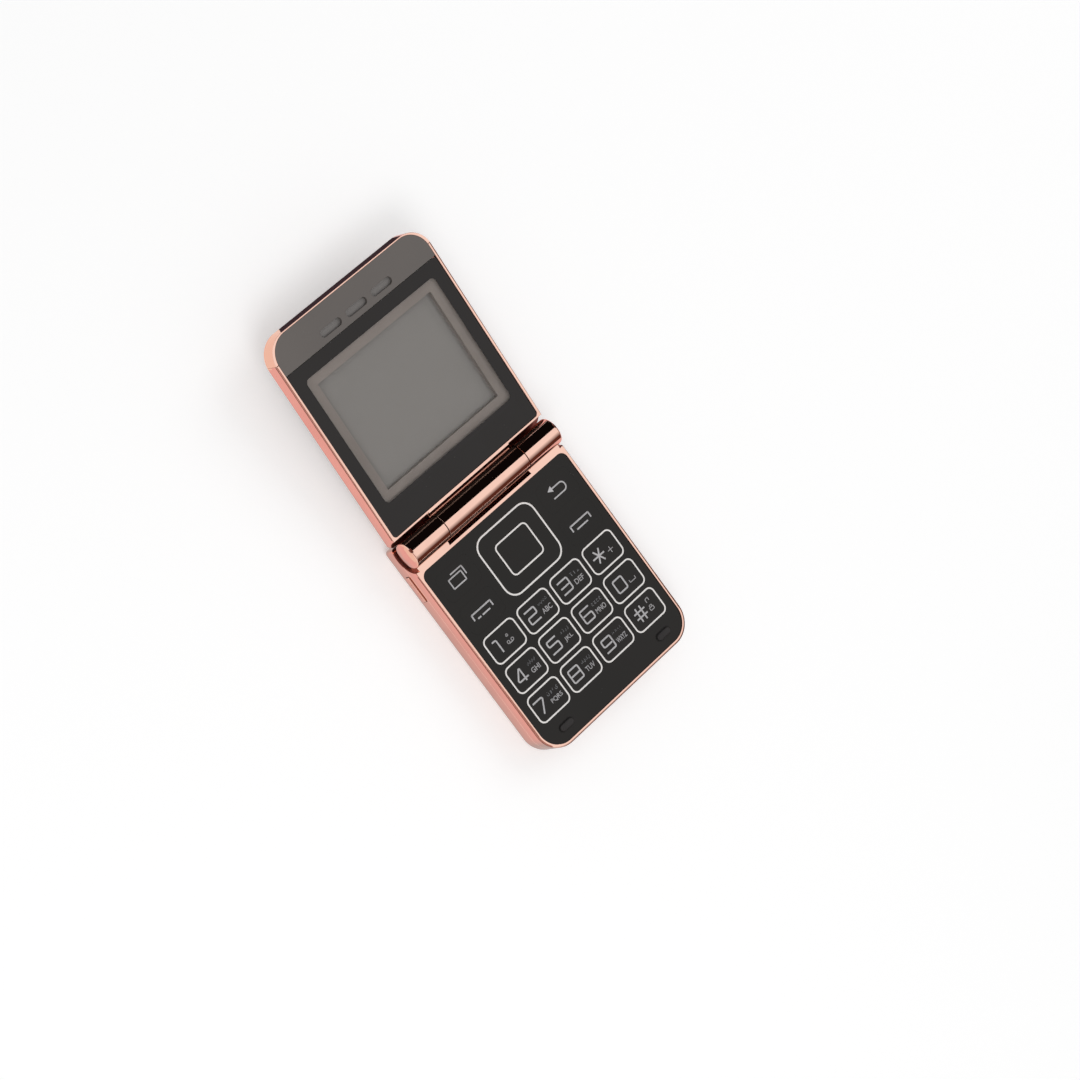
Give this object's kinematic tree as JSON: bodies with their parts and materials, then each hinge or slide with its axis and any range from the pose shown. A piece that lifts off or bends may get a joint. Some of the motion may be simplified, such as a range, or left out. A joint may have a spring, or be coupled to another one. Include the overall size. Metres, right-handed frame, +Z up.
{
  "type": "flip phone",
  "caption": "Slim flip phone with a square-cornered lid holding the display, a barrel hinge, a flat keypad with a navigation ring and a chrome-rimmed two-part housing.",
  "frame": {"origin": "middle of the base's flat back, on the table, with the lid open to its stop", "axes": "+X to the right along the hinge, +Y from the keypad's end towards the lid's end, +Z up out of the keypad"},
  "size_m": [0.0623, 0.1447, 0.0187],
  "materials": {
    "rose_plating": "moulded plastic with mirror-polished rose-gold chrome plating",
    "keypad_gloss": "very dark grey high-gloss film",
    "lens_acrylic": "clear polished acrylic, dark printed border",
    "taupe_gloss": "glossy taupe grey",
    "cover_plastic": "glossy dark grey",
    "soft_rubber": "soft dark rubber",
    "black_plastic": "matt black moulded plastic",
    "board_laminate": "green solder mask",
    "flex_film": "amber polyimide film",
    "bare_steel": "plain stamped steel",
    "hinge_acetal": "natural acetal",
    "battery_case": "foil cell in a thin plastic frame",
    "display_glass": "switched-off display, grey-brown"
  },
  "bodies": {
    "base": {"base_frame": "rose_plating", "rear_housing": "rose_plating", "battery_cover": "cover_plastic", "battery": "battery_case", "main_board": "board_laminate", "dome_sheet": "flex_film", "keypad_mat": "soft_rubber", "shield_can": "bare_steel", "sim_holder": "black_plastic", "battery_contacts": "black_plastic", "usb_socket": "bare_steel", "vibration_motor": "bare_steel", "loudspeaker": "black_plastic", "microphone": "black_plastic", "antenna": "black_plastic", "housing_screws": "bare_steel", "side_switches": "black_plastic", "keypad_panel": "keypad_gloss", "base_bumpers": "soft_rubber", "hinge_end_caps": "rose_plating", "hinge_cartridge": "bare_steel", "hinge_spring": "bare_steel", "hinge_bush": "hinge_acetal", "hinge_flex": "flex_film"},
    "lid": {"lid_frame": "rose_plating", "lid_top_trim": "rose_plating", "lid_back_shell": "rose_plating", "lid_back_plate": "cover_plastic", "lens": "lens_acrylic", "earpiece_cover": "taupe_gloss", "earpiece_mesh": "black_plastic", "earpiece_receiver": "bare_steel", "display_frame": "black_plastic", "display_module": "display_glass", "lid_board": "board_laminate", "lid_flex": "flex_film", "closing_magnet": "bare_steel", "lid_screws": "bare_steel", "hinge_cam": "bare_steel"},
    "key_1": {"key_1": "keypad_gloss"},
    "key_2": {"key_2": "keypad_gloss"},
    "key_3": {"key_3": "keypad_gloss"},
    "key_star": {"key_star": "keypad_gloss"},
    "key_4": {"key_4": "keypad_gloss"},
    "key_5": {"key_5": "keypad_gloss"},
    "key_6": {"key_6": "keypad_gloss"},
    "key_0": {"key_0": "keypad_gloss"},
    "key_7": {"key_7": "keypad_gloss"},
    "key_8": {"key_8": "keypad_gloss"},
    "key_9": {"key_9": "keypad_gloss"},
    "key_hash": {"key_hash": "keypad_gloss"},
    "menu_key": {"menu_key": "keypad_gloss"},
    "back_key": {"back_key": "keypad_gloss"},
    "call_key": {"call_key": "keypad_gloss"},
    "end_key": {"end_key": "keypad_gloss"},
    "ok_key": {"ok_key": "keypad_gloss"},
    "nav_ring": {"nav_ring": "keypad_gloss"},
    "nav_carrier": {"nav_carrier": "black_plastic"},
    "side_key": {"side_key": "rose_plating"}
  },
  "joints": [
    {"name": "lid_hinge", "type": "hinge", "parent": "base", "child": "lid", "pos_m": [0, 0.038, 0.011], "axis": [1, 0, 0], "range_deg": [0, 173.9]},
    {"name": "key_1_press", "type": "slide", "parent": "base", "child": "key_1", "axis": [0, 0, -1], "range_m": [0, 0.00025], "stiffness_N_per_m": 2000},
    {"name": "key_2_press", "type": "slide", "parent": "base", "child": "key_2", "axis": [0, 0, -1], "range_m": [0, 0.00025], "stiffness_N_per_m": 2000},
    {"name": "key_3_press", "type": "slide", "parent": "base", "child": "key_3", "axis": [0, 0, -1], "range_m": [0, 0.00025], "stiffness_N_per_m": 2000},
    {"name": "key_star_press", "type": "slide", "parent": "base", "child": "key_star", "axis": [0, 0, -1], "range_m": [0, 0.00025], "stiffness_N_per_m": 2000},
    {"name": "key_4_press", "type": "slide", "parent": "base", "child": "key_4", "axis": [0, 0, -1], "range_m": [0, 0.00025], "stiffness_N_per_m": 2000},
    {"name": "key_5_press", "type": "slide", "parent": "base", "child": "key_5", "axis": [0, 0, -1], "range_m": [0, 0.00025], "stiffness_N_per_m": 2000},
    {"name": "key_6_press", "type": "slide", "parent": "base", "child": "key_6", "axis": [0, 0, -1], "range_m": [0, 0.00025], "stiffness_N_per_m": 2000},
    {"name": "key_0_press", "type": "slide", "parent": "base", "child": "key_0", "axis": [0, 0, -1], "range_m": [0, 0.00025], "stiffness_N_per_m": 2000},
    {"name": "key_7_press", "type": "slide", "parent": "base", "child": "key_7", "axis": [0, 0, -1], "range_m": [0, 0.00025], "stiffness_N_per_m": 2000},
    {"name": "key_8_press", "type": "slide", "parent": "base", "child": "key_8", "axis": [0, 0, -1], "range_m": [0, 0.00025], "stiffness_N_per_m": 2000},
    {"name": "key_9_press", "type": "slide", "parent": "base", "child": "key_9", "axis": [0, 0, -1], "range_m": [0, 0.00025], "stiffness_N_per_m": 2000},
    {"name": "key_hash_press", "type": "slide", "parent": "base", "child": "key_hash", "axis": [0, 0, -1], "range_m": [0, 0.00025], "stiffness_N_per_m": 2000},
    {"name": "menu_key_press", "type": "slide", "parent": "base", "child": "menu_key", "axis": [0, 0, -1], "range_m": [0, 0.00025], "stiffness_N_per_m": 2000},
    {"name": "back_key_press", "type": "slide", "parent": "base", "child": "back_key", "axis": [0, 0, -1], "range_m": [0, 0.00025], "stiffness_N_per_m": 2000},
    {"name": "call_key_press", "type": "slide", "parent": "base", "child": "call_key", "axis": [0, 0, -1], "range_m": [0, 0.00025], "stiffness_N_per_m": 2000},
    {"name": "end_key_press", "type": "slide", "parent": "base", "child": "end_key", "axis": [0, 0, -1], "range_m": [0, 0.00025], "stiffness_N_per_m": 2000},
    {"name": "ok_key_press", "type": "slide", "parent": "base", "child": "ok_key", "axis": [0, 0, -1], "range_m": [0, 0.00025], "stiffness_N_per_m": 2000},
    {"name": "nav_tilt_left_right", "type": "hinge", "parent": "base", "child": "nav_carrier", "pos_m": [0, 0.01804, 0.0097], "axis": [0, 1, 0], "range_deg": [-1.2, 1.2], "stiffness_Nm_per_rad": 0.5},
    {"name": "nav_tilt_up_down", "type": "hinge", "parent": "nav_carrier", "child": "nav_ring", "pos_m": [0, 0.01804, 0.0097], "axis": [1, 0, 0], "range_deg": [-1.2, 1.2], "stiffness_Nm_per_rad": 0.5},
    {"name": "side_key_rock", "type": "hinge", "parent": "base", "child": "side_key", "pos_m": [-0.028, 0.0278, 0.0044], "axis": [0, 0, 1], "range_deg": [-2, 2], "stiffness_Nm_per_rad": 0.3}
  ]
}
